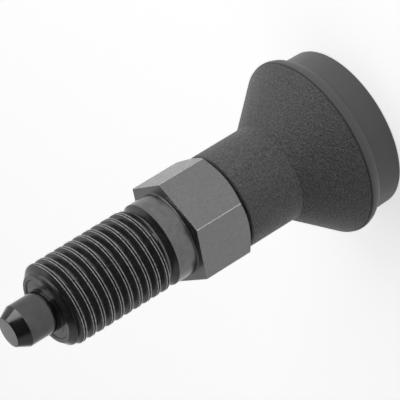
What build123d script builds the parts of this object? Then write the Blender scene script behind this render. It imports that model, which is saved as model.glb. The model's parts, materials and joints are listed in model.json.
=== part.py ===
from build123d import *
import math
import os

# Indexing plunger, millimetres.
# The plunger stands on the flat end of its grip cap. The origin is the centre of
# that end, +Z runs through the grip, the sleeve and the locking pin, and one
# corner of the hexagon points along +X.

# Sleeve: one turned steel piece with a hexagon, a plain collar, a relief and a thread
thread_d = 12.0
thread_front_chamfer = 1.1
sleeve_reach = 20.3
collar_length = 3.4
collar_edge_chamfer = 0.3
relief_width = 1.0
relief_d = 10.0
hex_across_flats = 14.0
hex_height = 8.0
hex_chamfer_angle = 30.0
sleeve_rear_wall = 3.0
spring_bore_d = 8.0

# Guide bush: a hardened ring pressed into the mouth of the sleeve
bush_wall = 1.3
bush_length = 4.0
press_gap = 0.02

# Locking pin: a hardened stepped pin, free to slide and turn in the bush
pin_d = 6.0
pin_reach = 6.0
pin_tip_d = 4.2
pin_tip_chamfer_length = 1.7
shoulder_d = 7.6
shoulder_height = 1.5
rod_d = 5.0
running_gap = 0.03
stop_gap = 0.05
grip_gap = 0.4
rod_depth_in_grip = 9.6
tapped_depth = 7.7

# Spring: round wire, both ends closed and ground flat. Its turns are short straight
# runs of a six-sided wire, so that the many turns stay light.
wire_d = 0.7
spring_d = 7.4
active_turns = 6
closed_turns = 1
closed_gap = 0.05
blend_turns = 0.5
runs_per_turn = 10
wire_sides = 6
ground_share = 0.3
seat_gap = 0.02

# Grip: a moulded trumpet with a straight neck and a hollow back
neck_d = 14.1
neck_length = 8.6
neck_edge_chamfer = 0.25
cone_length = 7.15
rim_d = 25.9
rim_land = 0.205
rim_radius = 1.1
grip_wall = 1.8
hub_d = 8.8
hub_web = 3.0
pocket_floor_inset = 1.5
rib_count = 6
rib_width = 1.1

# Cap: a smooth moulded cover that is pressed into the back of the grip
drum_height = 4.3
drum_inset = 1.2
drum_edge_chamfer = 0.3
cap_floor = 1.6
band_height = 1.25
band_inset = 0.65
band_bulge = 0.12
spigot_inset = 2.4
spigot_wall = 1.15
spigot_length = 1.7
spigot_gap = 0.03
spigot_end_gap = 0.1

# Fixing screw and washer, which hold the pin in the grip
screw_d = 3.0
screw_length = 10.0
screw_head_d = 5.5
screw_head_height = 3.0
screw_socket = 2.5
screw_socket_depth = 1.5
screw_hole_d = 3.2
tapped_gap = 0.02
washer_d = 7.0
washer_thickness = 0.5

# Heights and radii that follow from the sizes above
rim_r = rim_d / 2
neck_r = neck_d / 2
pin_r = pin_d / 2
bush_r = pin_r + bush_wall
drum_r = rim_r - drum_inset
rod_r = rod_d / 2
screw_r = screw_d / 2
spigot_r = rim_r - spigot_inset
rim_height = drum_height + band_height
cone_angle = math.atan2(rim_r - neck_r, cone_length)
rim_reach = rim_radius * math.tan(cone_angle / 2)
rim_front = rim_height + rim_land + rim_reach
cone_start = rim_front + rim_reach * math.cos(cone_angle)
throat = rim_front + cone_length
grip_length = throat + neck_length
sleeve_back = grip_length + grip_gap
seat = sleeve_back + hex_height
mouth = seat + sleeve_reach
bush_back = mouth - bush_length
shoulder_front = bush_back - stop_gap
shoulder_back = shoulder_front - shoulder_height
spring_floor = sleeve_back + sleeve_rear_wall
pin_tip = mouth + pin_reach
rod_end = grip_length - rod_depth_in_grip
hub_height = rod_end - hub_web
cone_slope = (rim_r - neck_r) / cone_length


def turned(corners):
    """A solid turned about Z from its (radius, height) corners."""
    profile = make_face(Polyline(*corners, close=True))
    return revolve(Plane.XZ * profile, Axis.Z)


def hexagon(across_flats, height):
    """A hexagonal prism standing on the origin, with a corner along +X."""
    outline = RegularPolygon(across_flats / 2, 6, major_radius=False)
    return extrude(outline, height)


def make_sleeve():
    """The turned sleeve: hexagon, collar, relief and the zone that carries the thread."""
    flat_r = hex_across_flats / 2
    corner_r = flat_r / math.cos(math.radians(30)) + 1
    chamfer_rise = (corner_r - flat_r) * math.tan(math.radians(hex_chamfer_angle))
    blank = turned([
        (0, sleeve_back),
        (flat_r, sleeve_back),
        (corner_r, sleeve_back + chamfer_rise),
        (corner_r, seat),
        (0, seat),
    ])
    head = Pos(0, 0, sleeve_back) * hexagon(hex_across_flats, hex_height) & blank
    thread_r = thread_d / 2
    relief_r = relief_d / 2
    collar_front = seat + collar_length
    relief_front = collar_front + relief_width
    barrel = turned([
        (0, seat),
        (thread_r, seat),
        (thread_r, collar_front - collar_edge_chamfer),
        (thread_r - collar_edge_chamfer, collar_front),
        (relief_r, collar_front),
        (relief_r, relief_front),
        (thread_r, relief_front),
        (thread_r, mouth - thread_front_chamfer),
        (thread_r - thread_front_chamfer, mouth),
        (0, mouth),
    ])
    bore = turned([
        (0, sleeve_back - 1),
        (rod_r + running_gap, sleeve_back - 1),
        (rod_r + running_gap, spring_floor),
        (spring_bore_d / 2, spring_floor),
        (spring_bore_d / 2, bush_back),
        (bush_r, bush_back),
        (bush_r, mouth + 1),
        (0, mouth + 1),
    ])
    return head + barrel - bore


def make_bush():
    """The ring in the mouth of the sleeve that guides the pin and stops its shoulder."""
    inner = pin_r + running_gap
    outer = bush_r - press_gap
    return turned([
        (inner, bush_back),
        (outer, bush_back),
        (outer, mouth),
        (inner, mouth),
    ])


def make_pin():
    """The stepped pin: tapered tip, guide length, shoulder and rod with a tapped end."""
    tapped_r = screw_r + tapped_gap
    tapped_end = rod_end + tapped_depth
    return turned([
        (tapped_r, rod_end),
        (rod_r, rod_end),
        (rod_r, shoulder_back),
        (shoulder_d / 2, shoulder_back),
        (shoulder_d / 2, shoulder_front),
        (pin_r, shoulder_front),
        (pin_r, pin_tip - pin_tip_chamfer_length),
        (pin_tip_d / 2, pin_tip),
        (0, pin_tip),
        (0, tapped_end),
        (tapped_r, tapped_end),
    ])


def ramp(turn, width):
    """A rise that starts smoothly about zero and then climbs one for each turn."""
    share = min(max(turn / width + 0.5, 0), 1)
    return width * (share**3 - share**4 / 2) + max(turn - width / 2, 0)


def make_spring():
    """The compression spring, closed and ground at both ends, as it sits at rest."""
    low = spring_floor + seat_gap
    high = shoulder_back - seat_gap
    coil_r = (spring_d - wire_d) / 2
    end_inset = wire_d / 2 - wire_d * ground_share
    rise = high - low - 2 * end_inset
    all_turns = active_turns + 2 * closed_turns
    closed_pitch = wire_d + closed_gap
    spare_rise = (rise - all_turns * closed_pitch) / active_turns
    points = []
    for step in range(all_turns * runs_per_turn + 1):
        turn = step / runs_per_turn
        opened = ramp(turn - closed_turns, blend_turns)
        opened -= ramp(turn - closed_turns - active_turns, blend_turns)
        angle = math.radians(360 * turn)
        height = low + end_inset + closed_pitch * turn + spare_rise * opened
        points.append((coil_r * math.cos(angle), coil_r * math.sin(angle), height))
    path = Polyline(*points)
    section = Plane(path @ 0, z_dir=path % 0) * RegularPolygon(wire_d / 2, wire_sides)
    coil = sweep(section, path=path, transition=Transition.RIGHT)
    slab = Pos(0, 0, (low + high) / 2) * Cylinder(spring_d, high - low)
    return coil & slab


def cone_radius(height):
    """The outside radius of the grip's cone at a height."""
    return neck_r + (throat - height) * cone_slope


def make_grip():
    """The trumpet: neck, cone and rim outside, a ribbed hub and the cap's seat behind."""
    skin = turned([
        (0, rim_height),
        (rim_r, rim_height),
        (rim_r, rim_front - rim_reach),
        (cone_radius(cone_start), cone_start),
        (neck_r, throat),
        (neck_r, grip_length - neck_edge_chamfer),
        (neck_r - neck_edge_chamfer, grip_length),
        (0, grip_length),
    ])
    recess_r = spigot_r + spigot_gap
    recess_top = rim_height + spigot_length + spigot_end_gap
    recess = turned([
        (0, rim_height - 1),
        (recess_r, rim_height - 1),
        (recess_r, recess_top),
        (0, recess_top),
    ])
    wall_across = grip_wall * math.hypot(1, cone_slope)
    pocket_floor = throat - pocket_floor_inset
    hub_r = hub_d / 2
    behind_hub = Pos(0, 0, (recess_top + hub_height) / 2) * Cylinder(
        hub_r, hub_height - recess_top + 1)
    pocket = turned([
        (hub_r, recess_top - 0.5),
        (cone_radius(recess_top) - wall_across, recess_top - 0.5),
        (cone_radius(recess_top) - wall_across, recess_top),
        (cone_radius(pocket_floor) - wall_across, pocket_floor),
        (hub_r, pocket_floor),
    ])
    rib_height = pocket_floor - hub_height
    rib = Pos(rim_r / 2, 0, hub_height + rib_height / 2) * Box(rim_r, rib_width, rib_height)
    for turn in range(rib_count):
        pocket -= Rot(0, 0, turn * 360 / rib_count) * rib
    socket = Pos(0, 0, (rod_end + grip_length + 1) / 2) * Cylinder(
        rod_r + running_gap, grip_length + 1 - rod_end)
    screw_hole = Pos(0, 0, rod_end) * Cylinder(screw_hole_d / 2, 2 * hub_web + 1)
    return skin - recess - pocket - behind_hub - socket - screw_hole


def make_cap():
    """The cover: flat end, short drum, rounded band against the rim and a press spigot."""
    band_middle = (rim_r - band_inset / 2 + band_bulge, drum_height + band_height / 2)
    spigot_top = rim_height + spigot_length
    spigot_inner = spigot_r - spigot_wall
    return turned([
        (0, 0),
        (drum_r - drum_edge_chamfer, 0),
        (drum_r, drum_edge_chamfer),
        (drum_r, drum_height),
        (rim_r - band_inset, drum_height),
        band_middle,
        (rim_r, rim_height),
        (spigot_r, rim_height),
        (spigot_r, spigot_top),
        (spigot_inner, spigot_top),
        (spigot_inner, cap_floor),
        (0, cap_floor),
    ])


def make_washer():
    """The plain washer between the screw's head and the grip's hub."""
    return turned([
        (screw_hole_d / 2, hub_height - washer_thickness),
        (washer_d / 2, hub_height - washer_thickness),
        (washer_d / 2, hub_height),
        (screw_hole_d / 2, hub_height),
    ])


def make_screw():
    """The socket-head screw, its head towards the cap and its shank in the pin's end."""
    under_head = hub_height - washer_thickness
    head_end = under_head - screw_head_height
    head_r = screw_head_d / 2
    body = turned([
        (0, head_end),
        (head_r, head_end),
        (head_r, under_head),
        (screw_r, under_head),
        (screw_r, under_head + screw_length),
        (0, under_head + screw_length),
    ])
    return body - Pos(0, 0, head_end) * hexagon(screw_socket, screw_socket_depth)


pieces = {
    "threaded_sleeve": make_sleeve(),
    "guide_bush": make_bush(),
    "locking_pin": make_pin(),
    "spring": make_spring(),
    "grip_body": make_grip(),
    "grip_cap": make_cap(),
    "fixing_screw": make_screw(),
    "fixing_washer": make_washer(),
}

os.makedirs("parts", exist_ok=True)
for name, piece in pieces.items():
    export_step(piece, f"parts/{name}.step")

print("seat face at", round(seat, 3), "sleeve mouth at", round(mouth, 3))
print("pin tip at", round(pin_tip, 3), "spring length", round(shoulder_back - spring_floor, 3))
print("spring length pulled back", round(shoulder_back - pin_reach - spring_floor, 3))
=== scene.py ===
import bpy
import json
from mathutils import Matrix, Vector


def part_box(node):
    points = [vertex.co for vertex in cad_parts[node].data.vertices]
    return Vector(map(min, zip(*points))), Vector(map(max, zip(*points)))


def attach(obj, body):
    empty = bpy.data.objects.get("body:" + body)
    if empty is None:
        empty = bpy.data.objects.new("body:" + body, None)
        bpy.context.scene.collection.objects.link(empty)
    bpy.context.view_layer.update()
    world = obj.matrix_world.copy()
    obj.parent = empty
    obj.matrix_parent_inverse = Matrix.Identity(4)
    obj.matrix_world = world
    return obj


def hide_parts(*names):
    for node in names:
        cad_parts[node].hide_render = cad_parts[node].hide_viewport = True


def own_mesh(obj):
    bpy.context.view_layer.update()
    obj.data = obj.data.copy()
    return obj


bl_info = {
    "name": "Indexing plunger",
    "version": (1, 0, 0),
    "blender": (4, 5, 0),
    "location": "3D View > Sidebar > Plunger",
    "description": "Builds the finished surfaces of the indexing plunger round its solid model",
    "category": "Mesh",
}

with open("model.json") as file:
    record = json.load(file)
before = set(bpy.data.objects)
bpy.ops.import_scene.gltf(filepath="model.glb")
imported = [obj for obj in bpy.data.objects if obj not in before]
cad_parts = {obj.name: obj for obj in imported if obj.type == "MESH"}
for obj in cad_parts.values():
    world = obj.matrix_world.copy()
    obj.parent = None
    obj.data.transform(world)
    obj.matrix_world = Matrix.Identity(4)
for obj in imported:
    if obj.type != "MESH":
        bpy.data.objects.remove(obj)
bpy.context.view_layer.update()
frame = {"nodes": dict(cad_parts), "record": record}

import json
import math

import bmesh
import bpy
from bpy.props import FloatProperty, FloatVectorProperty, IntProperty, PointerProperty
from bpy.types import Operator, Panel, PropertyGroup
from mathutils import Matrix, Vector

MM = 0.001
FULL_TURN = 2 * math.pi
HEX_STEP = FULL_TURN / 6
HALF_STEP = HEX_STEP / 2

# Too small to be seen: keeps the faces of two pieces apart
HAIR = 0.01 * MM

# Heights and radii that the solid model gives, in metres above the cap's flat end
MOUNTS = {mount["name"]: mount for mount in frame["record"]["mounts"]}
PLUNGER_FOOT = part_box("grip_cap")[0].z
SEAT = MOUNTS["seat_face"]["pos_m"][2]
THREAD_RADIUS = MOUNTS["thread"]["dims"]["r_mm"] * MM
PIN_RADIUS = MOUNTS["locking_pin"]["dims"]["r_mm"] * MM
SLEEVE_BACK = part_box("threaded_sleeve")[0].z
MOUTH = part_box("threaded_sleeve")[1].z
PIN_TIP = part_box("locking_pin")[1].z
ROD_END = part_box("locking_pin")[0].z
BUSH_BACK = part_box("guide_bush")[0].z
BUSH_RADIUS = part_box("guide_bush")[1].x
RIM_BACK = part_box("grip_body")[0].z
NECK_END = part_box("grip_body")[1].z
RIM_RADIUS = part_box("grip_body")[1].x
SPIGOT_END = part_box("grip_cap")[1].z
SPRING_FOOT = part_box("spring")[0].z
SPRING_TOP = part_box("spring")[1].z
SPRING_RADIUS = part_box("spring")[1].x
HEX_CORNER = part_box("threaded_sleeve")[1].x


def length(name, description, millimetres):
    """A size in metres, from millimetres."""
    return FloatProperty(name=name, description=description, default=millimetres * MM,
                         min=0, precision=5, subtype="DISTANCE", unit="LENGTH")


def share(name, description, value):
    """A plain number from 0 to 1."""
    return FloatProperty(name=name, description=description, default=value, min=0, max=1,
                         subtype="FACTOR")


def colour(name, description, value):
    """A colour, in linear values."""
    return FloatVectorProperty(name=name, description=description, default=value,
                               min=0, max=1, size=3, subtype="COLOR")


class SleeveSettings(PropertyGroup):
    """Sizes of the turned and threaded sleeve."""
    pitch: length("Thread pitch", "Distance from one crest to the next", 1.5)
    crest_width: length("Crest width", "Width of each crest over its two lips", 0.52)
    # The lips take the lighter crest colour, a painted highlight
    lip_width: length("Lip width", "Width of each worn lip beside the seam", 0.07)
    lip_edge: length("Lip edge", "Broken edge on both sides of each lip", 0.035)
    seam_depth: length("Seam depth", "Depth of the rolled seam along each crest", 0.2)
    thread_depth: length("Thread depth", "Depth of the thread below its crests", 0.8)
    root_width: length("Root width", "Width of the rounded root", 0.16)
    front_chamfer: length("Front chamfer", "Length of the chamfer at the sleeve's mouth", 1.1)
    relief_radius: length("Relief radius", "Radius of the undercut behind the thread", 5.1)
    relief_width: length("Relief width", "Width of the undercut behind the thread", 1.0)
    relief_slope: length("Relief slope", "Axial length of the slope from the collar", 0.7)
    collar_length: length("Collar length", "Length of the plain collar", 3.1)
    collar_edge: length("Collar edge", "Rounding of the collar's front edge", 0.06)
    collar_root: length("Collar root", "Fillet where the collar meets the hexagon", 0.2)
    hex_flat: length("Half across flats", "Distance from the axis to a flat", 7.0)
    hex_edge: length("Corner edge", "Width of the broken edge along each corner", 0.1)
    rear_wall: length("Rear wall", "Wall behind the spring", 3.0)
    spring_bore: length("Spring bore", "Radius of the bore round the spring", 4.0)
    rear_edge: length("Rear edge", "Broken edge of the bore at the rear", 0.2)
    relief_root: length("Relief root", "Fillet in the undercut", 0.1)
    mouth_edge: length("Mouth edge", "Width of the broken edge round the bush", 0.12)
    mouth_drop: length("Mouth drop", "Depth of the broken edge round the bush", 0.18)
    first_crest: length("First crest", "From the mouth to the first crest", 1.22)
    thread_start: FloatProperty(name="Thread start", description="Where the first crest starts",
                                default=math.radians(19.55), subtype="ANGLE")
    columns: IntProperty(name="Columns", description="Columns of the mesh round the sleeve",
                         default=288, min=72, max=360)


class PinSettings(PropertyGroup):
    """Sizes of the locking pin and its bush."""
    tip_radius: length("Tip radius", "Radius of the flat tip", 2.1)
    tip_length: length("Tip length", "Length of the tapered tip", 1.7)
    tip_edge: length("Tip edge", "Rounding of the tip's edges", 0.14)
    rod_edge: length("Rod edge", "Rounding of the rod's rear end", 0.25)
    shoulder_edge: length("Shoulder edge", "Rounding of the shoulder's edges", 0.1)
    shoulder_radius: length("Shoulder radius", "Radius of the shoulder", 3.8)
    shoulder_height: length("Shoulder height", "Height of the shoulder", 1.5)
    rod_radius: length("Rod radius", "Radius of the rod", 2.5)
    stop_gap: length("Stop gap", "Gap between the shoulder and the bush", 0.05)
    tapped_radius: length("Tapped hole", "Radius of the tapped hole", 1.52)
    tapped_depth: length("Tapped depth", "Depth of the tapped hole", 7.7)
    bush_gap: length("Running gap", "Gap between the pin and its bush", 0.03)
    bush_edge: length("Bush edge", "Rounding of the bush's front edges", 0.03)
    bush_step: length("Bush step", "Width of each low step round the pin", 0.3)
    bush_rise: length("Bush rise", "Height of each low step round the pin", 0.06)


class SpringSettings(PropertyGroup):
    """Sizes of the compression spring."""
    wire_radius: length("Wire radius", "Radius of the spring's wire", 0.35)
    turns: IntProperty(name="Turns", description="Open turns", default=6, min=1)
    closed_gap: length("Closed gap", "Gap between the closed turns at each end", 0.05)
    pulled_share: share("Pulled length", "Length when pulled back, as a share of the rest length",
                        0.696)


class GripSettings(PropertyGroup):
    """Sizes of the moulded grip."""
    neck_radius: length("Neck radius", "Radius of the straight neck", 7.05)
    neck_length: length("Neck length", "Length of the straight neck", 8.6)
    neck_edge: length("Neck edge", "Rounding of the neck's front edge", 0.3)
    throat: length("Throat fillet", "Fillet where the neck meets the trumpet", 0.12)
    cone_length: length("Cone length", "Length of the trumpet's cone", 7.15)
    rim_lip: length("Rim lip", "Small rounding at the seam with the cap", 0.02)
    groove_rise: length("Groove rise", "Height of the parting groove above the rim's corner", 0.03)
    groove_width: length("Groove width", "Half the width of the parting groove", 0.12)
    groove_depth: length("Groove depth", "Depth of the parting groove", 0.34)
    groove_lip: length("Groove lip", "Rounding where the cone meets the groove", 0.03)
    land_edge: length("Land edge", "Rounding of the rim beside the groove", 0.2)
    hub_edge: length("Hub edge", "Rounding of the hub and of the pocket's floor", 0.2)
    wall: length("Trumpet wall", "Wall of the trumpet", 1.8)
    hub_radius: length("Hub radius", "Radius of the hub inside", 4.4)
    pocket_floor: length("Pocket floor", "Floor of the pocket behind the throat", 1.5)
    hub_web: length("Hub web", "Wall in front of the washer", 3.0)
    rib_width: length("Rib width", "Width of each rib", 1.1)
    rib_sink: length("Rib sink", "How far each rib runs into hub and wall", 0.6)
    ribs: IntProperty(name="Ribs", description="Ribs round the hub", default=6, min=2)
    rod_hole: length("Rod hole", "Radius of the hole for the rod", 2.53)
    screw_hole: length("Screw hole", "Radius of the hole for the screw", 1.6)
    recess_radius: length("Recess radius", "Radius of the seat for the cap", 10.58)
    recess_depth: length("Recess depth", "Depth of the seat for the cap", 1.8)


class CapSettings(PropertyGroup):
    """Sizes of the pressed-in cap."""
    drum_radius: length("Drum radius", "Radius of the drum", 11.75)
    drum_height: length("Drum height", "Height of the drum", 4.3)
    drum_edge: length("Drum edge", "Rounding of the flat end's edge", 0.35)
    drum_draft: length("Drum draft", "How much narrower the drum is at its flat end", 0.1)
    drum_root: length("Drum root", "Fillet where the drum meets the band", 0.15)
    band_radius: length("Band foot", "Radius of the band at the drum", 12.3)
    band_bulge: length("Band bulge", "How far the band bulges", 0.12)
    band_edge: length("Band edge", "Rounding of the band at the drum", 0.1)
    band_round: length("Band rounding", "Rounding of the band's middle", 0.9)
    band_lip: length("Band lip", "Small rounding at the seam with the rim", 0.02)
    spigot_radius: length("Spigot radius", "Outer radius of the spigot", 10.55)
    spigot_wall: length("Spigot wall", "Wall of the spigot", 1.15)
    spigot_edge: length("Spigot edge", "Rounding of the spigot's end", 0.2)
    floor: length("Floor", "Thickness of the flat end", 1.6)
    floor_root: length("Floor root", "Fillet where the floor meets the spigot", 0.4)


class FinishSettings(PropertyGroup):
    """Colours of the materials."""
    steel: colour("Turned steel", "Black oxide on the thread and collar", (0.145, 0.145, 0.147))
    milled: colour("Milled steel", "Black oxide on the hexagon", (0.19, 0.19, 0.192))
    # Lighter colour on the hexagon's broken edges: a painted highlight of bright edge lines
    highlighted: colour("Worn edge", "Bare steel along the hexagon's edges", (0.55, 0.55, 0.54))
    # Darker colour over the thread's flanks, roots and undercut: painted shade in the valleys
    flank: colour("Rolled flanks", "Black oxide on the thread's flanks", (0.1, 0.1, 0.102))
    # Lighter colour on the thread's lips: a painted highlight of bright lines along the crests
    crest: colour("Rubbed crest", "Steel that shows along the thread's lips", (0.37, 0.37, 0.37))
    pin: colour("Hardened pin", "Black oxide on the ground pin", (0.078, 0.078, 0.08))
    tip: colour("Pin tip", "Black oxide on the faced tip", (0.26, 0.26, 0.263))
    bush: colour("Bush", "Black oxide on the guide bush", (0.13, 0.13, 0.132))
    grip: colour("Moulded grip", "Grained black moulding", (0.105, 0.105, 0.107))
    cap: colour("Moulded cap", "Smooth black moulding", (0.118, 0.118, 0.12))
    wire: colour("Spring wire", "Drawn spring wire", (0.35, 0.35, 0.36))
    plate: colour("Zinc plate", "Zinc plated screw and washer", (0.60, 0.60, 0.58))
    floor: colour("Floor", "Pale studio floor", (0.90, 0.90, 0.90))


class StageSettings(PropertyGroup):
    """Camera, lamps and studio light."""
    azimuth: FloatProperty(name="Azimuth", description="Camera direction, 0 looks along +Y",
                           default=math.radians(340.4523), subtype="ANGLE")
    elevation: FloatProperty(name="Elevation", description="Camera angle above the floor",
                             default=math.radians(24.7609), subtype="ANGLE")
    roll: FloatProperty(name="Roll", description="Turn of the camera about its own line of sight",
                        default=math.radians(121.4433), subtype="ANGLE")
    distance: FloatProperty(name="Distance", description="Camera to the point that it aims at",
                            default=0.35598, unit="LENGTH", subtype="DISTANCE")
    aim: FloatVectorProperty(name="Aim", description="Point that the camera aims at",
                             default=(0.0015995, -0.0005679, 0.023984), subtype="XYZ")
    lens: FloatProperty(name="Lens", description="Focal length in millimetres", default=242.31)
    key_power: FloatProperty(name="Key power", description="Power of the key lamp in watts",
                             default=0.46, subtype="POWER")
    side_power: FloatProperty(name="Side power", description="Power of the side lamp in watts",
                              default=0.062, subtype="POWER")
    low_light: FloatProperty(name="Low light", description="Studio light near the floor",
                             default=0.86)
    far_share: share("Far side", "Low light on the far side, as a share of the rest", 0.62)
    overhead_light: FloatProperty(name="Overhead light", description="Studio light overhead",
                                  default=0.1)


SETTINGS = {
    "plunger_sleeve": SleeveSettings,
    "plunger_pin": PinSettings,
    "plunger_spring": SpringSettings,
    "plunger_grip": GripSettings,
    "plunger_cap": CapSettings,
    "plunger_finish": FinishSettings,
    "plunger_stage": StageSettings,
}


# Outlines and meshes

ARC_STEPS = 6
TURNED_SEGMENTS = 192
SMOOTH_ANGLE = math.radians(32)
WELD = 1e-7


def rounded_outline(corners):
    """Points of a closed outline from (radius, height, rounding) corners."""
    points = []
    for place, (r, z, rounding) in enumerate(corners):
        here = Vector((r, z))
        before = Vector(corners[place - 1][:2]) - here
        after = Vector(corners[(place + 1) % len(corners)][:2]) - here
        if rounding <= 0:
            points.append((r, z))
            continue
        between = before.angle(after)
        reach = rounding / math.tan(between / 2)
        start = before.normalized() * reach
        end = after.normalized() * reach
        centre = (start + end).normalized() * (rounding / math.sin(between / 2))
        sweep_angle = math.pi - between
        for step in range(ARC_STEPS + 1):
            part = step / ARC_STEPS
            first = math.sin((1 - part) * sweep_angle) / math.sin(sweep_angle)
            second = math.sin(part * sweep_angle) / math.sin(sweep_angle)
            spot = here + centre + (start - centre) * first + (end - centre) * second
            points.append((spot.x, spot.y))
    return points


def mesh_piece(name, points, faces, material):
    """A clean, closed and smoothly shaded object from points and faces."""
    mesh = bpy.data.meshes.new(name)
    mesh.from_pydata(points, [], faces)
    work = bmesh.new()
    work.from_mesh(mesh)
    bmesh.ops.remove_doubles(work, verts=work.verts, dist=WELD)
    bmesh.ops.dissolve_degenerate(work, edges=work.edges, dist=WELD)
    bmesh.ops.recalc_face_normals(work, faces=work.faces)
    work.to_mesh(mesh)
    work.free()
    mesh.shade_smooth()
    mesh.set_sharp_from_angle(angle=SMOOTH_ANGLE)
    mesh.materials.append(material)
    piece = bpy.data.objects.new(name, mesh)
    bpy.context.scene.collection.objects.link(piece)
    return piece


def ring_faces(here, there, count):
    """Faces between two rings of points, from the place of each ring's first point."""
    faces = []
    for column in range(count):
        beside = (column + 1) % count
        faces.append((here + column, here + beside, there + beside, there + column))
    return faces


def joined_rings(rings, closed=True):
    """Points and faces of rings of equal length, each joined to the next."""
    count = len(rings[0])
    points = [point for ring in rings for point in ring]
    faces = []
    last = len(rings) if closed else len(rings) - 1
    for row in range(last):
        faces += ring_faces(row * count, (row + 1) % len(rings) * count, count)
    return points, faces


def ring_at(radius, height, angles):
    """A circle of points about the axis, one at each angle."""
    return [(radius * math.cos(angle), radius * math.sin(angle), height) for angle in angles]


def turned_piece(name, corners, material):
    """A piece turned about the axis from the corners of its closed section."""
    angles = [FULL_TURN * turn / TURNED_SEGMENTS for turn in range(TURNED_SEGMENTS)]
    rings = [ring_at(max(r, 0), z, angles) for r, z in rounded_outline(corners)]
    return mesh_piece(name, *joined_rings(rings), material)


def place(piece, node, body, slot):
    """Lets a piece stand for its solid and move with its body; the slot is not used."""
    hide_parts(node)
    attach(piece, body)


# Materials

# Stretch that draws a noise out into rings round the axis
RINGS = (0.02, 0.02, 1)


class Finish:
    """A procedural material that is put together one node at a time."""

    def __init__(self, name):
        self.material = bpy.data.materials.new(name)
        self.material.use_nodes = True
        self.tree = self.material.node_tree
        self.shader = self.tree.nodes["Principled BSDF"]
        self.place = self.add("ShaderNodeTexCoord").outputs["Object"]

    def add(self, kind, links=None, **values):
        """A node with its input values, its links and its own settings."""
        new = self.tree.nodes.new(kind)
        for key, value in values.items():
            setattr(new, key, value)
        for key, source in (links or {}).items():
            if isinstance(source, bpy.types.NodeSocket):
                self.tree.links.new(source, new.inputs[key])
            else:
                new.inputs[key].default_value = source
        return new

    def noise(self, size, detail=2.0, stretch=(1, 1, 1)):
        """Cloudy noise with features of about this size in metres."""
        mapped = self.add("ShaderNodeMapping", {"Vector": self.place, "Scale": stretch})
        made = self.add("ShaderNodeTexNoise", {
            "Vector": mapped.outputs[0], "Scale": 1 / size, "Detail": detail})
        return made.outputs["Fac"]

    def ranged(self, source, low, high, start=0.3, stop=0.7):
        """Moves a value from its own range to another."""
        made = self.add("ShaderNodeMapRange", {
            "Value": source, "From Min": start, "From Max": stop, "To Min": low, "To Max": high})
        return made.outputs["Result"]

    def tinted(self, base, source, spread):
        """The base colour made lighter and darker by a share."""
        dark = tuple(channel * (1 - spread) for channel in base) + (1,)
        light = tuple(channel * (1 + spread) for channel in base) + (1,)
        made = self.add("ShaderNodeMix", data_type="RGBA")
        self.tree.links.new(self.ranged(source, 0, 1), made.inputs["Factor"])
        inputs = [socket for socket in made.inputs if socket.type == "RGBA"]
        inputs[0].default_value = dark
        inputs[1].default_value = light
        outputs = [socket for socket in made.outputs if socket.type == "RGBA"]
        self.tree.links.new(outputs[0], self.shader.inputs["Base Color"])

    def rough(self, source, low, high):
        """Roughness that varies between two values."""
        self.tree.links.new(self.ranged(source, low, high), self.shader.inputs["Roughness"])

    def bumped(self, *layers):
        """Fine relief from (source, height in metres) layers, one over the other."""
        under = None
        for source, height in layers:
            links = {"Height": source, "Distance": height, "Strength": 1.0}
            if under is not None:
                links["Normal"] = under
            under = self.add("ShaderNodeBump", links).outputs["Normal"]
        self.tree.links.new(under, self.shader.inputs["Normal"])

    def fixed(self, **values):
        """Values that are the same all over the surface."""
        for key, value in values.items():
            self.shader.inputs[key.replace("_", " ")].default_value = value
        return self.material


def satin_blackened_steel(finishes):
    """Black oxide over milled and turned steel: satin, with a fine grain."""
    finish = Finish("satin_blackened_steel")
    clouds = finish.noise(1.1 * MM, detail=3)
    grain = finish.noise(0.12 * MM, detail=2)
    finish.tinted(finishes.milled, grain, spread=0.18)
    finish.rough(clouds, low=0.25, high=0.34)
    finish.bumped((grain, 0.006 * MM), (finish.noise(0.4 * MM, detail=2), 0.006 * MM))
    return finish.fixed(Metallic=0.85)


def worn_edge_steel(name, base):
    """Lighter steel on the hexagon's broken edges and the thread's lips: a painted highlight."""
    finish = Finish(name)
    patches = finish.noise(0.25 * MM, detail=3)
    finish.tinted(base, patches, spread=0.5)
    finish.rough(patches, low=0.3, high=0.5)
    return finish.fixed(Metallic=0.9)


def glossy_blackened_steel(name, base):
    """Oiled black oxide on the turned thread and collar, with turning marks."""
    finish = Finish(name)
    rings = finish.noise(0.05 * MM, detail=2, stretch=RINGS)
    clouds = finish.noise(0.9 * MM, detail=3)
    finish.tinted(base, clouds, spread=0.15)
    finish.rough(clouds, low=0.2, high=0.3)
    finish.bumped((rings, 0.0016 * MM))
    return finish.fixed(Metallic=0.9)


def ground_pin_steel(name, base):
    """Blackened and ground steel of the pin and bush: glossy, with fine rings."""
    finish = Finish(name)
    rings = finish.noise(0.04 * MM, detail=2, stretch=RINGS)
    clouds = finish.noise(1.4 * MM, detail=3)
    finish.tinted(base, clouds, spread=0.12)
    finish.rough(clouds, low=0.11, high=0.16)
    finish.bumped((rings, 0.0008 * MM))
    return finish.fixed(Metallic=0.9)


def drawn_spring_wire(finishes):
    """Drawn wire with a light oil film."""
    finish = Finish("drawn_spring_wire")
    clouds = finish.noise(0.5 * MM, detail=3)
    finish.tinted(finishes.wire, clouds, spread=0.2)
    finish.rough(clouds, low=0.25, high=0.4)
    finish.bumped((finish.noise(0.08 * MM, detail=2), 0.002 * MM))
    return finish.fixed(Metallic=1.0)


def zinc_plated_steel(finishes):
    """Bright zinc plate on the screw and washer."""
    finish = Finish("zinc_plated_steel")
    clouds = finish.noise(0.7 * MM, detail=3)
    finish.tinted(finishes.plate, clouds, spread=0.12)
    finish.rough(clouds, low=0.28, high=0.42)
    finish.bumped((finish.noise(0.1 * MM, detail=2), 0.002 * MM))
    return finish.fixed(Metallic=1.0)


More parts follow.
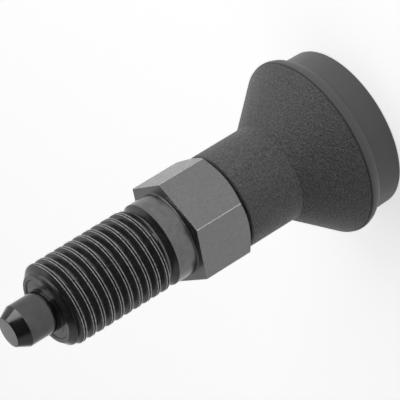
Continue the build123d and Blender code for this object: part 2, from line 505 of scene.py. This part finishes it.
def grained_moulding(finishes):
    """Black moulded plastic with a spark-eroded grain."""
    finish = Finish("grained_moulding")
    grain = finish.noise(0.21 * MM, detail=1.0)
    fine = finish.noise(0.12 * MM, detail=1)
    finish.tinted(finishes.grip, grain, spread=0.5)
    finish.rough(fine, low=0.42, high=0.6)
    finish.bumped((grain, 0.16 * MM), (fine, 0.03 * MM))
    return finish.fixed(Specular_IOR_Level=0.5)


def smooth_moulding(finishes):
    """Black moulded plastic with a smooth matt surface."""
    finish = Finish("smooth_moulding")
    grain = finish.noise(0.16 * MM, detail=1.5)
    clouds = finish.noise(3.0 * MM, detail=2)
    finish.tinted(finishes.cap, clouds, spread=0.04)
    finish.rough(clouds, low=0.46, high=0.56)
    finish.bumped((grain, 0.006 * MM))
    return finish.fixed(Specular_IOR_Level=0.5)


# The sleeve

# Places of the extra columns at each corner, in half edges from its middle
CORNER_COLUMNS = (-1, -0.5, 0.5, 1)

# The hexagon's rear end is turned to a cone of this slope
HEX_CHAMFER = math.radians(30)

# Shares of the thread's depth at which its flank ends and its rounded root turns
FLANK_DROP = 0.9
ROOT_DROP = 0.98

# Shares of the flank at which the mesh has a row
FLANK_ROWS = (0.4, 1.0)

# How steeply the thread runs out into the undercut
RUNOUT_SLOPE = 3

# Finishes of the sleeve, in the order of its material slots. The edge and crest slots are painted
# highlights, the flank slot is painted shade.
TURNED, SATIN, EDGE_HIGHLIGHT, CREST_HIGHLIGHT, THREAD_SHADE = range(5)


def sleeve_columns(settings):
    """Angles of the columns round the sleeve, closer together at each corner."""
    half_edge = settings.hex_edge / 2 / HEX_CORNER
    angles = [FULL_TURN * turn / settings.columns for turn in range(settings.columns)]
    for corner in range(6):
        for offset in CORNER_COLUMNS:
            angles.append((corner * HEX_STEP + offset * half_edge) % FULL_TURN)
    return sorted(angles)


def from_corner(angle):
    """The angle from the nearest corner of the hexagon."""
    return (angle + HALF_STEP) % HEX_STEP - HALF_STEP


def hexagon_radius(angle, settings):
    """Distance from the axis to the hexagon, whose corners are slightly broken."""
    off_corner = from_corner(angle)
    flat = settings.hex_flat / math.cos(HALF_STEP - abs(off_corner))
    corner = settings.hex_flat / math.cos(HALF_STEP)
    cut = settings.hex_edge / 2 * math.tan(HALF_STEP)
    return min(flat, (corner - cut) / math.cos(off_corner))


def thread_profile(settings):
    """(offset along the axis, depth) points of one rolled thread, from crest to crest."""
    half_crest = settings.crest_width / 2
    half_root = settings.root_width / 2
    half_pitch = settings.pitch / 2
    edge = settings.lip_edge
    depth = settings.thread_depth
    lip_start = half_crest - edge - settings.lip_width
    flank_start = (half_crest, edge)
    flank_end = (half_pitch - half_root, depth * FLANK_DROP)
    side = [
        (0, settings.seam_depth),
        (lip_start - edge, edge),
        (lip_start, 0),
        (half_crest - edge, 0),
        flank_start,
    ]
    for part in FLANK_ROWS:
        side.append((flank_start[0] + (flank_end[0] - flank_start[0]) * part,
                     flank_start[1] + (flank_end[1] - flank_start[1]) * part))
    side.append((half_pitch - half_root / 2, depth * ROOT_DROP))
    side.append((half_pitch, depth))
    mirrored = [(settings.pitch - offset, drop) for offset, drop in reversed(side[1:-1])]
    return side + mirrored


def profile_depth(profile, pitch, offset):
    """Depth of the thread at an offset from a crest's middle."""
    offset %= pitch
    for (low, drop), (high, next_drop) in zip(profile, profile[1:] + [(pitch, profile[0][1])]):
        if low <= offset <= high:
            part = 0 if high == low else (offset - low) / (high - low)
            return drop + (next_drop - drop) * part
    return 0


def threaded_zone(settings, angles, low, high, first_crest):
    """Points and faces of the thread, in rows that follow its helix from low to high."""
    profile = thread_profile(settings)
    pitch = settings.pitch
    per_turn = len(profile)
    turns = math.ceil((high - low) / pitch) + 2
    base = first_crest - math.ceil((first_crest - low) / pitch + 1) * pitch
    last_row = (turns + 1) * per_turn
    columns = len(angles)

    def envelope(height):
        runout = settings.relief_radius + (height - low) * RUNOUT_SLOPE
        lead = THREAD_RADIUS - settings.front_chamfer + (high - height)
        return min(THREAD_RADIUS, runout, lead)

    points = []
    for row in range(last_row + 1):
        turn, step = divmod(row, per_turn)
        offset = profile[step][0]
        for angle in angles:
            rise = pitch * angle / FULL_TURN
            height = min(max(base + pitch * turn + offset + rise, low), high)
            depth = profile_depth(profile, pitch, height - rise - base)
            radius = min(THREAD_RADIUS - depth, envelope(height))
            points.append((radius * math.cos(angle), radius * math.sin(angle), height))
    faces = []
    for row in range(last_row):
        here = row * columns
        for column in range(columns - 1):
            faces.append((here + column, here + column + 1,
                          here + columns + column + 1, here + columns + column))
        over = min(row + per_turn, last_row) * columns
        over_next = min(row + 1 + per_turn, last_row) * columns
        faces.append((here + columns - 1, over, over_next, here + 2 * columns - 1))
    return points, faces


def sleeve_mesh(settings, pin, collar_front, relief_front):
    """Points and faces of the sleeve, from its rear bore over the thread and back inside."""
    angles = sleeve_columns(settings)
    columns = len(angles)
    rod_bore = pin.rod_radius + pin.bush_gap
    edge = settings.hex_edge / 2
    chamfer_rise = math.tan(HEX_CHAMFER)

    def ring(radius, height):
        return ring_at(radius, height, angles)

    def hex_ring(inset, height):
        return [((hexagon_radius(angle, settings) - inset) * math.cos(angle),
                 (hexagon_radius(angle, settings) - inset) * math.sin(angle), height)
                for angle in angles]

    def chamfered_hex_ring():
        made = []
        for angle in angles:
            radius = hexagon_radius(angle, settings)
            height = SLEEVE_BACK + (radius - settings.hex_flat) * chamfer_rise + edge / 2
            made.append((radius * math.cos(angle), radius * math.sin(angle), height))
        return made

    # The first corner lies on the hexagon's face and only gives the root's direction
    collar = rounded_outline([
        (settings.hex_flat, SEAT, 0),
        (THREAD_RADIUS, SEAT, settings.collar_root),
        (THREAD_RADIUS, collar_front, settings.collar_edge),
        (settings.relief_radius, collar_front + settings.relief_slope, settings.relief_root),
        (settings.relief_radius, relief_front, 0),
    ])[1:]
    rear = [
        ring(rod_bore, SLEEVE_BACK + settings.rear_edge),
        ring(rod_bore + settings.rear_edge, SLEEVE_BACK),
        ring(settings.hex_flat - edge, SLEEVE_BACK),
        chamfered_hex_ring(),
        hex_ring(0, SEAT - edge),
        hex_ring(edge, SEAT),
    ] + [ring(r, z) for r, z in collar]
    mouth = [
        ring(BUSH_RADIUS + settings.mouth_edge, MOUTH),
        ring(BUSH_RADIUS, MOUTH - settings.mouth_drop),
        ring(BUSH_RADIUS, BUSH_BACK),
        ring(settings.spring_bore, BUSH_BACK),
        ring(settings.spring_bore, SLEEVE_BACK + settings.rear_wall),
        ring(rod_bore, SLEEVE_BACK + settings.rear_wall),
    ]
    turned_on = settings.pitch * settings.thread_start / FULL_TURN
    first_crest = MOUTH - settings.first_crest + turned_on
    zones = [
        joined_rings(rear, closed=False),
        threaded_zone(settings, angles, relief_front, MOUTH, first_crest),
        joined_rings(mouth, closed=False),
    ]
    points = []
    faces = []
    for zone_points, zone_faces in zones:
        start = len(points)
        if start:
            faces += ring_faces(start - columns, start, columns)
        points += zone_points
        faces += [tuple(spot + start for spot in face) for face in zone_faces]
    faces += ring_faces(len(points) - columns, 0, columns)
    return points, faces


def sleeve_finish(centre, settings, collar_front, relief_front):
    """The finish of a face of the sleeve, from the middle of the face."""
    radius = math.hypot(centre.x, centre.y)
    edge = settings.hex_edge / 2
    if centre.z <= SEAT and radius >= settings.hex_flat - edge:
        off_corner = abs(from_corner(math.atan2(centre.y, centre.x)))
        # The hexagon's broken edges take the painted highlight
        if off_corner * HEX_CORNER < edge or centre.z > SEAT - edge:
            return EDGE_HIGHLIGHT
    if centre.z < SEAT + HAIR:
        return SATIN
    # The thread's lips take the painted crest highlight
    on_thread = relief_front < centre.z < MOUTH - settings.front_chamfer
    if on_thread and radius > THREAD_RADIUS - settings.lip_edge:
        return CREST_HIGHLIGHT
    # The rest of the thread zone and the undercut take the painted shade
    if collar_front < centre.z < MOUTH - HAIR and radius > BUSH_RADIUS:
        return THREAD_SHADE
    return TURNED


class PLUNGER_OT_sleeve(Operator):
    """Build the sleeve with its hexagon, collar, relief and real thread"""
    bl_idname = "plunger.sleeve"
    bl_label = "Threaded sleeve"

    def execute(self, context):
        settings = context.scene.plunger_sleeve
        finishes = context.scene.plunger_finish
        collar_front = SEAT + settings.collar_length
        relief_front = collar_front + settings.relief_width
        points, faces = sleeve_mesh(settings, context.scene.plunger_pin, collar_front,
                                    relief_front)
        piece = mesh_piece("threaded_sleeve_finished", points, faces,
                           glossy_blackened_steel("turned_steel", finishes.steel))
        others = (
            satin_blackened_steel(finishes),
            # Lighter steel for the painted highlights on edges and crests, darker steel for the
            # painted shade in the thread
            worn_edge_steel("worn_edge_steel", finishes.highlighted),
            worn_edge_steel("rubbed_crest_steel", finishes.crest),
            glossy_blackened_steel("rolled_thread_steel", finishes.flank),
        )
        for material in others:
            piece.data.materials.append(material)
        for polygon in piece.data.polygons:
            polygon.material_index = sleeve_finish(polygon.center, settings, collar_front,
                                                   relief_front)
        place(piece, "threaded_sleeve", "sleeve", "blackened_steel")
        return {"FINISHED"}


class PLUNGER_OT_bush(Operator):
    """Build the guide bush in the mouth of the sleeve"""
    bl_idname = "plunger.bush"
    bl_label = "Guide bush"

    def execute(self, context):
        pin = context.scene.plunger_pin
        finishes = context.scene.plunger_finish
        inner = PIN_RADIUS + pin.bush_gap
        outer = BUSH_RADIUS - HAIR
        face = MOUTH - 2 * HAIR - 2 * pin.bush_rise
        piece = turned_piece("guide_bush_finished", [
            (inner, BUSH_BACK, 0),
            (outer, BUSH_BACK, 0),
            (outer, face, pin.bush_edge),
            (inner + 2 * pin.bush_step, face, 0),
            (inner + 2 * pin.bush_step, face + pin.bush_rise, pin.bush_edge),
            (inner + pin.bush_step, face + pin.bush_rise, 0),
            (inner + pin.bush_step, face + 2 * pin.bush_rise, pin.bush_edge),
            (inner, face + 2 * pin.bush_rise, pin.bush_edge),
        ], ground_pin_steel("ground_bush_steel", finishes.bush))
        place(piece, "guide_bush", "sleeve", "blackened_steel")
        return {"FINISHED"}


class PLUNGER_OT_pin(Operator):
    """Build the stepped locking pin"""
    bl_idname = "plunger.pin"
    bl_label = "Locking pin"

    def execute(self, context):
        pin = context.scene.plunger_pin
        finishes = context.scene.plunger_finish
        shoulder_front = BUSH_BACK - pin.stop_gap
        shoulder_back = shoulder_front - pin.shoulder_height
        tapped_end = ROD_END + pin.tapped_depth
        piece = turned_piece("locking_pin_finished", [
            (pin.tapped_radius, ROD_END, 0),
            (pin.rod_radius, ROD_END, pin.rod_edge),
            (pin.rod_radius, shoulder_back, 0),
            (pin.shoulder_radius, shoulder_back, pin.shoulder_edge),
            (pin.shoulder_radius, shoulder_front, pin.shoulder_edge),
            (PIN_RADIUS, shoulder_front, 0),
            (PIN_RADIUS, PIN_TIP - pin.tip_length, pin.tip_edge),
            (pin.tip_radius, PIN_TIP, pin.tip_edge),
            (0, PIN_TIP, 0),
            (0, tapped_end, 0),
            (pin.tapped_radius, tapped_end, 0),
        ], ground_pin_steel("ground_pin_steel", finishes.pin))
        piece.data.materials.append(ground_pin_steel("faced_tip_steel", finishes.tip))
        for polygon in piece.data.polygons:
            if polygon.center.z > PIN_TIP - HAIR:
                polygon.material_index = 1
        place(piece, "locking_pin", "plunger", "hardened_pin")
        return {"FINISHED"}


# Closed turns at each end of the spring, and the fineness of its mesh
CLOSED_END = 1
STEPS_PER_TURN = 32
WIRE_SIDES = 12


class PLUNGER_OT_spring(Operator):
    """Build the closed and ground compression spring"""
    bl_idname = "plunger.spring"
    bl_label = "Spring"

    def execute(self, context):
        spring = context.scene.plunger_spring
        wire = spring.wire_radius
        coil = SPRING_RADIUS - wire
        all_turns = spring.turns + 2 * CLOSED_END
        closed_pitch = 2 * wire + spring.closed_gap
        foot = SPRING_FOOT + wire
        rise = SPRING_TOP - SPRING_FOOT - 2 * wire
        spare = (rise - all_turns * closed_pitch) / spring.turns
        rings = []
        for step in range(all_turns * STEPS_PER_TURN + 1):
            turn = step / STEPS_PER_TURN
            angle = FULL_TURN * turn
            open_turns = min(max(turn - CLOSED_END, 0), spring.turns)
            height = foot + closed_pitch * turn + spare * open_turns
            ring = []
            for side in range(WIRE_SIDES):
                tilt = FULL_TURN * side / WIRE_SIDES
                radius = coil + wire * math.cos(tilt)
                ring.append((radius * math.cos(angle), radius * math.sin(angle),
                             height + wire * math.sin(tilt)))
            rings.append(ring)
        points, faces = joined_rings(rings, closed=False)
        faces.append(tuple(range(WIRE_SIDES)))
        faces.append(tuple(range(len(points) - WIRE_SIDES, len(points))))
        piece = mesh_piece("spring_finished", points, faces,
                           drawn_spring_wire(context.scene.plunger_finish))
        place(piece, "spring", "sleeve", "spring_steel")
        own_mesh(piece)
        return {"FINISHED"}


def joined(piece, others):
    """Unites the piece with other closed meshes and removes those."""
    for other in others:
        modifier = piece.modifiers.new("union", "BOOLEAN")
        modifier.operation = "UNION"
        modifier.solver = "EXACT"
        modifier.object = other
    graph = bpy.context.evaluated_depsgraph_get()
    made = bpy.data.meshes.new_from_object(piece.evaluated_get(graph))
    piece.modifiers.clear()
    old = piece.data
    piece.data = made
    bpy.data.meshes.remove(old)
    for other in others:
        bpy.data.objects.remove(other)


def radial_rib(angle, width, section, material):
    """A flat rib that stands out from the axis, from the corners of its side view."""
    out = Vector((math.cos(angle), math.sin(angle), 0))
    side = Vector((-math.sin(angle), math.cos(angle), 0)) * (width / 2)
    points = []
    for half in (side, -side):
        points += [out * r + half + Vector((0, 0, z)) for r, z in section]
    count = len(section)
    faces = [tuple(range(count)), tuple(range(2 * count - 1, count - 1, -1))]
    for corner in range(count):
        beside = (corner + 1) % count
        faces.append((corner, corner + count, beside + count, beside))
    return mesh_piece("rib", points, faces, material)


class PLUNGER_OT_grip(Operator):
    """Build the trumpet-shaped grip with its hub, pocket and ribs"""
    bl_idname = "plunger.grip"
    bl_label = "Grip"

    def execute(self, context):
        grip = context.scene.plunger_grip
        throat = NECK_END - grip.neck_length
        rim_front = throat - grip.cone_length
        slope = (RIM_RADIUS - grip.neck_radius) / grip.cone_length
        recess_top = RIM_BACK + grip.recess_depth
        hub_back = ROD_END - grip.hub_web
        floor = throat - grip.pocket_floor
        groove = rim_front + grip.groove_rise

        def cone_radius(height):
            return grip.neck_radius + (throat - height) * slope

        def pocket_wall(height):
            return cone_radius(height) - grip.wall * math.hypot(1, slope)

        material = grained_moulding(context.scene.plunger_finish)
        piece = turned_piece("grip_body_finished", [
            (grip.recess_radius, RIM_BACK, 0),
            (RIM_RADIUS, RIM_BACK, grip.rim_lip),
            (RIM_RADIUS, groove - grip.groove_width, grip.land_edge),
            (RIM_RADIUS - grip.groove_depth, groove, 0),
            (cone_radius(groove + grip.groove_width), groove + grip.groove_width, grip.groove_lip),
            (grip.neck_radius, throat, grip.throat),
            (grip.neck_radius, NECK_END, grip.neck_edge),
            (grip.rod_hole, NECK_END, 0),
            (grip.rod_hole, ROD_END, 0),
            (grip.screw_hole, ROD_END, 0),
            (grip.screw_hole, hub_back, 0),
            (grip.hub_radius, hub_back, grip.hub_edge),
            (grip.hub_radius, floor, grip.hub_edge),
            (pocket_wall(floor), floor, grip.hub_edge),
            (pocket_wall(recess_top), recess_top, 0),
            (grip.recess_radius, recess_top, 0),
        ], material)
        rib_foot = floor + grip.rib_sink / 2
        rib_section = [
            (grip.hub_radius - grip.rib_sink, hub_back),
            (pocket_wall(hub_back) + grip.rib_sink, hub_back),
            (pocket_wall(floor) + grip.rib_sink, rib_foot),
            (grip.hub_radius - grip.rib_sink, rib_foot),
        ]
        joined(piece, [radial_rib(FULL_TURN * turn / grip.ribs, grip.rib_width, rib_section,
                                  material) for turn in range(grip.ribs)])
        piece.data.set_sharp_from_angle(angle=SMOOTH_ANGLE)
        piece.data.materials.append(smooth_moulding(context.scene.plunger_finish))
        for polygon in piece.data.polygons:
            spot = polygon.center
            if spot.z < groove and math.hypot(spot.x, spot.y) > grip.recess_radius:
                polygon.material_index = 1
        place(piece, "grip_body", "plunger", "moulded_grip")
        return {"FINISHED"}


class PLUNGER_OT_cap(Operator):
    """Build the smooth cap with its rounded band"""
    bl_idname = "plunger.cap"
    bl_label = "Cap"

    def execute(self, context):
        cap = context.scene.plunger_cap
        band_middle = (cap.band_radius + RIM_RADIUS) / 2 + cap.band_bulge
        inner = cap.spigot_radius - cap.spigot_wall
        drum_top = PLUNGER_FOOT + cap.drum_height
        piece = turned_piece("grip_cap_finished", [
            (0, PLUNGER_FOOT, 0),
            (cap.drum_radius - cap.drum_draft, PLUNGER_FOOT, cap.drum_edge),
            (cap.drum_radius, drum_top, cap.drum_root),
            (cap.band_radius, drum_top, cap.band_edge),
            (band_middle, (drum_top + RIM_BACK) / 2, cap.band_round),
            (RIM_RADIUS, RIM_BACK, cap.band_lip),
            (cap.spigot_radius, RIM_BACK, 0),
            (cap.spigot_radius, SPIGOT_END, cap.spigot_edge),
            (inner, SPIGOT_END, 0),
            (inner, PLUNGER_FOOT + cap.floor, cap.floor_root),
            (0, PLUNGER_FOOT + cap.floor, 0),
        ], smooth_moulding(context.scene.plunger_finish))
        place(piece, "grip_cap", "plunger", "moulded_cap")
        return {"FINISHED"}


class PLUNGER_OT_fixing(Operator):
    """Finish the hidden screw and washer that hold the pin in the grip"""
    bl_idname = "plunger.fixing"
    bl_label = "Fixing screw and washer"

    def execute(self, context):
        plate = zinc_plated_steel(context.scene.plunger_finish)
        for name in ("fixing_screw", "fixing_washer"):
            for slot in frame["nodes"][name].material_slots:
                slot.material = plate
        return {"FINISHED"}


# The stage

# Directions in which the studio is dimmer. The nearness to one is 1 straight along it and
# 0 square to it: the light starts to change at the first nearness and ends at the last.
OVERHEAD = {"direction": (-0.18, -0.46, 0.87), "start": 0.4, "stop": 0.75}
FAR_SIDE = {"direction": (-0.85, 0.53, 0), "start": -0.4, "stop": 0.8}

# Strength that lifts the lit floor to white for the camera and polished metal only. It adds
# no light to the part, and the floor keeps the part's shadow.
FLOOR_LIFT = 0.62
FLOOR_REACH = 4.0

# Places and sizes of the lamps in metres
KEY_PLACE = (0.215, -0.255, 0.19)
KEY_SIZE = (0.42, 0.14)
SIDE_PLACE = (-0.1, -0.34, 0.035)
SIDE_SIZE = (0.1, 0.06)

# Width of the camera's sensor in millimetres, and the nearest and farthest that it sees
SENSOR_WIDTH = 36
NEAREST = 0.01
FARTHEST = 20


def maths(tree, operation, first, second):
    """The outcome of one calculation on two values in a node tree."""
    node = tree.nodes.new("ShaderNodeMath")
    node.operation = operation
    for socket, value in zip(node.inputs, (first, second)):
        if isinstance(value, bpy.types.NodeSocket):
            tree.links.new(value, socket)
        else:
            socket.default_value = value
    return node.outputs[0]


def eased_light(tree, direction, start, stop, away, along):
    """Light with one value away from a direction and another along it."""
    where = tree.nodes.new("ShaderNodeTexCoord")
    nearness = tree.nodes.new("ShaderNodeVectorMath")
    nearness.operation = "DOT_PRODUCT"
    nearness.inputs[1].default_value = Vector(direction).normalized()
    tree.links.new(where.outputs["Generated"], nearness.inputs[0])
    eased = tree.nodes.new("ShaderNodeMapRange")
    eased.interpolation_type = "SMOOTHSTEP"
    limits = {"From Min": start, "From Max": stop, "To Min": away, "To Max": along}
    for name, value in limits.items():
        eased.inputs[name].default_value = value
    tree.links.new(nearness.outputs["Value"], eased.inputs["Value"])
    return eased.outputs["Result"]


def studio_world(stage):
    """A pale studio: bright low down, dimmer on the far side and dim overhead."""
    world = bpy.data.worlds.new("studio")
    world.use_nodes = True
    tree = world.node_tree
    tree.nodes.clear()
    light = eased_light(tree, away=stage.low_light, along=stage.overhead_light, **OVERHEAD)
    side_share = eased_light(tree, away=1.0, along=stage.far_share, **FAR_SIDE)
    background = tree.nodes.new("ShaderNodeBackground")
    tree.links.new(maths(tree, "MULTIPLY", light, side_share), background.inputs["Strength"])
    output = tree.nodes.new("ShaderNodeOutputWorld")
    tree.links.new(background.outputs[0], output.inputs["Surface"])
    bpy.context.scene.world = world


def pale_floor(floor_colour):
    """A pale floor that looks nearly white and keeps the part's shadow."""
    material = bpy.data.materials.new("pale_floor")
    material.use_nodes = True
    tree = material.node_tree
    tree.nodes.clear()
    path = tree.nodes.new("ShaderNodeLightPath")
    mirrored = maths(tree, "MAXIMUM", path.outputs["Is Glossy Ray"],
                     path.outputs["Is Transmission Ray"])
    seen = maths(tree, "MAXIMUM", path.outputs["Is Camera Ray"], mirrored)
    lit = tree.nodes.new("ShaderNodeBsdfDiffuse")
    lit.inputs["Color"].default_value = tuple(floor_colour) + (1,)
    white = tree.nodes.new("ShaderNodeEmission")
    white.inputs["Color"].default_value = (1, 1, 1, 1)
    tree.links.new(maths(tree, "MULTIPLY", seen, FLOOR_LIFT), white.inputs["Strength"])
    both = tree.nodes.new("ShaderNodeAddShader")
    tree.links.new(lit.outputs[0], both.inputs[0])
    tree.links.new(white.outputs[0], both.inputs[1])
    output = tree.nodes.new("ShaderNodeOutputMaterial")
    tree.links.new(both.outputs[0], output.inputs["Surface"])
    return material


def studio_floor(material):
    """A wide flat floor under the cap's flat end."""
    mesh = bpy.data.meshes.new("studio_floor")
    corners = ((-1, -1), (1, -1), (1, 1), (-1, 1))
    points = [(x * FLOOR_REACH, y * FLOOR_REACH, PLUNGER_FOOT) for x, y in corners]
    mesh.from_pydata(points, [], [(0, 1, 2, 3)])
    mesh.materials.append(material)
    floor = bpy.data.objects.new("studio_floor", mesh)
    bpy.context.scene.collection.objects.link(floor)


def area_lamp(name, place, aim, size, power):
    """A soft lamp at a place that points at another."""
    data = bpy.data.lights.new(name, "AREA")
    data.shape = "RECTANGLE"
    data.size = size[0]
    data.size_y = size[1]
    data.energy = power
    lamp = bpy.data.objects.new(name, data)
    lamp.location = place
    lamp.rotation_euler = (Vector(place) - Vector(aim)).to_track_quat("Z", "Y").to_euler()
    bpy.context.scene.collection.objects.link(lamp)


def studio_camera(stage):
    """The camera at the photograph's viewing angle."""
    data = bpy.data.cameras.new("camera")
    data.lens = stage.lens
    data.sensor_width = SENSOR_WIDTH
    data.clip_start = NEAREST
    data.clip_end = FARTHEST
    camera = bpy.data.objects.new("camera", data)
    flat = math.cos(stage.elevation)
    back = Vector((math.sin(stage.azimuth) * flat, -math.cos(stage.azimuth) * flat,
                   math.sin(stage.elevation)))
    upright = back.to_track_quat("Z", "Y").to_matrix().to_4x4()
    turn = Matrix.Rotation(-stage.roll, 4, "Z")
    where = Matrix.Translation(Vector(stage.aim) + back * stage.distance)
    camera.matrix_world = where @ upright @ turn
    bpy.context.scene.collection.objects.link(camera)
    bpy.context.scene.camera = camera


class PLUNGER_OT_stage(Operator):
    """Set up the floor, the lamps, the studio and the camera"""
    bl_idname = "plunger.stage"
    bl_label = "Stage"

    def execute(self, context):
        stage = context.scene.plunger_stage
        middle = (0, 0, (PLUNGER_FOOT + PIN_TIP) / 2)
        studio_floor(pale_floor(context.scene.plunger_finish.floor))
        studio_world(stage)
        area_lamp("key_lamp", KEY_PLACE, middle, KEY_SIZE, stage.key_power)
        area_lamp("side_lamp", SIDE_PLACE, middle, SIDE_SIZE, stage.side_power)
        studio_camera(stage)
        view = context.scene.view_settings
        view.view_transform = "Standard"
        return {"FINISHED"}


class PLUNGER_PT_sidebar(Panel):
    """The plunger's pieces and sizes"""
    bl_idname = "PLUNGER_PT_sidebar"
    bl_label = "Indexing plunger"
    bl_space_type = "VIEW_3D"
    bl_region_type = "UI"
    bl_category = "Plunger"

    def draw(self, context):
        for operator in OPERATORS:
            self.layout.operator(operator.bl_idname)
        for group in SETTINGS:
            box = self.layout.box()
            settings = getattr(context.scene, group)
            box.label(text=settings.bl_rna.name)
            for field in settings.__annotations__:
                box.prop(settings, field)


OPERATORS = (
    PLUNGER_OT_sleeve,
    PLUNGER_OT_bush,
    PLUNGER_OT_pin,
    PLUNGER_OT_spring,
    PLUNGER_OT_grip,
    PLUNGER_OT_cap,
    PLUNGER_OT_fixing,
    PLUNGER_OT_stage,
)


def register():
    for group, settings in SETTINGS.items():
        bpy.utils.register_class(settings)
        setattr(bpy.types.Scene, group, PointerProperty(type=settings))
    for operator in OPERATORS:
        bpy.utils.register_class(operator)
    bpy.utils.register_class(PLUNGER_PT_sidebar)


def unregister():
    bpy.utils.unregister_class(PLUNGER_PT_sidebar)
    for operator in reversed(OPERATORS):
        bpy.utils.unregister_class(operator)
    for group, settings in SETTINGS.items():
        delattr(bpy.types.Scene, group)
        bpy.utils.unregister_class(settings)


def main():
    register()
    bpy.ops.plunger.sleeve()
    bpy.ops.plunger.bush()
    bpy.ops.plunger.pin()
    bpy.ops.plunger.spring()
    bpy.ops.plunger.grip()
    bpy.ops.plunger.cap()
    bpy.ops.plunger.fixing()
    bpy.ops.plunger.stage()


if __name__ == "__main__":
    main()
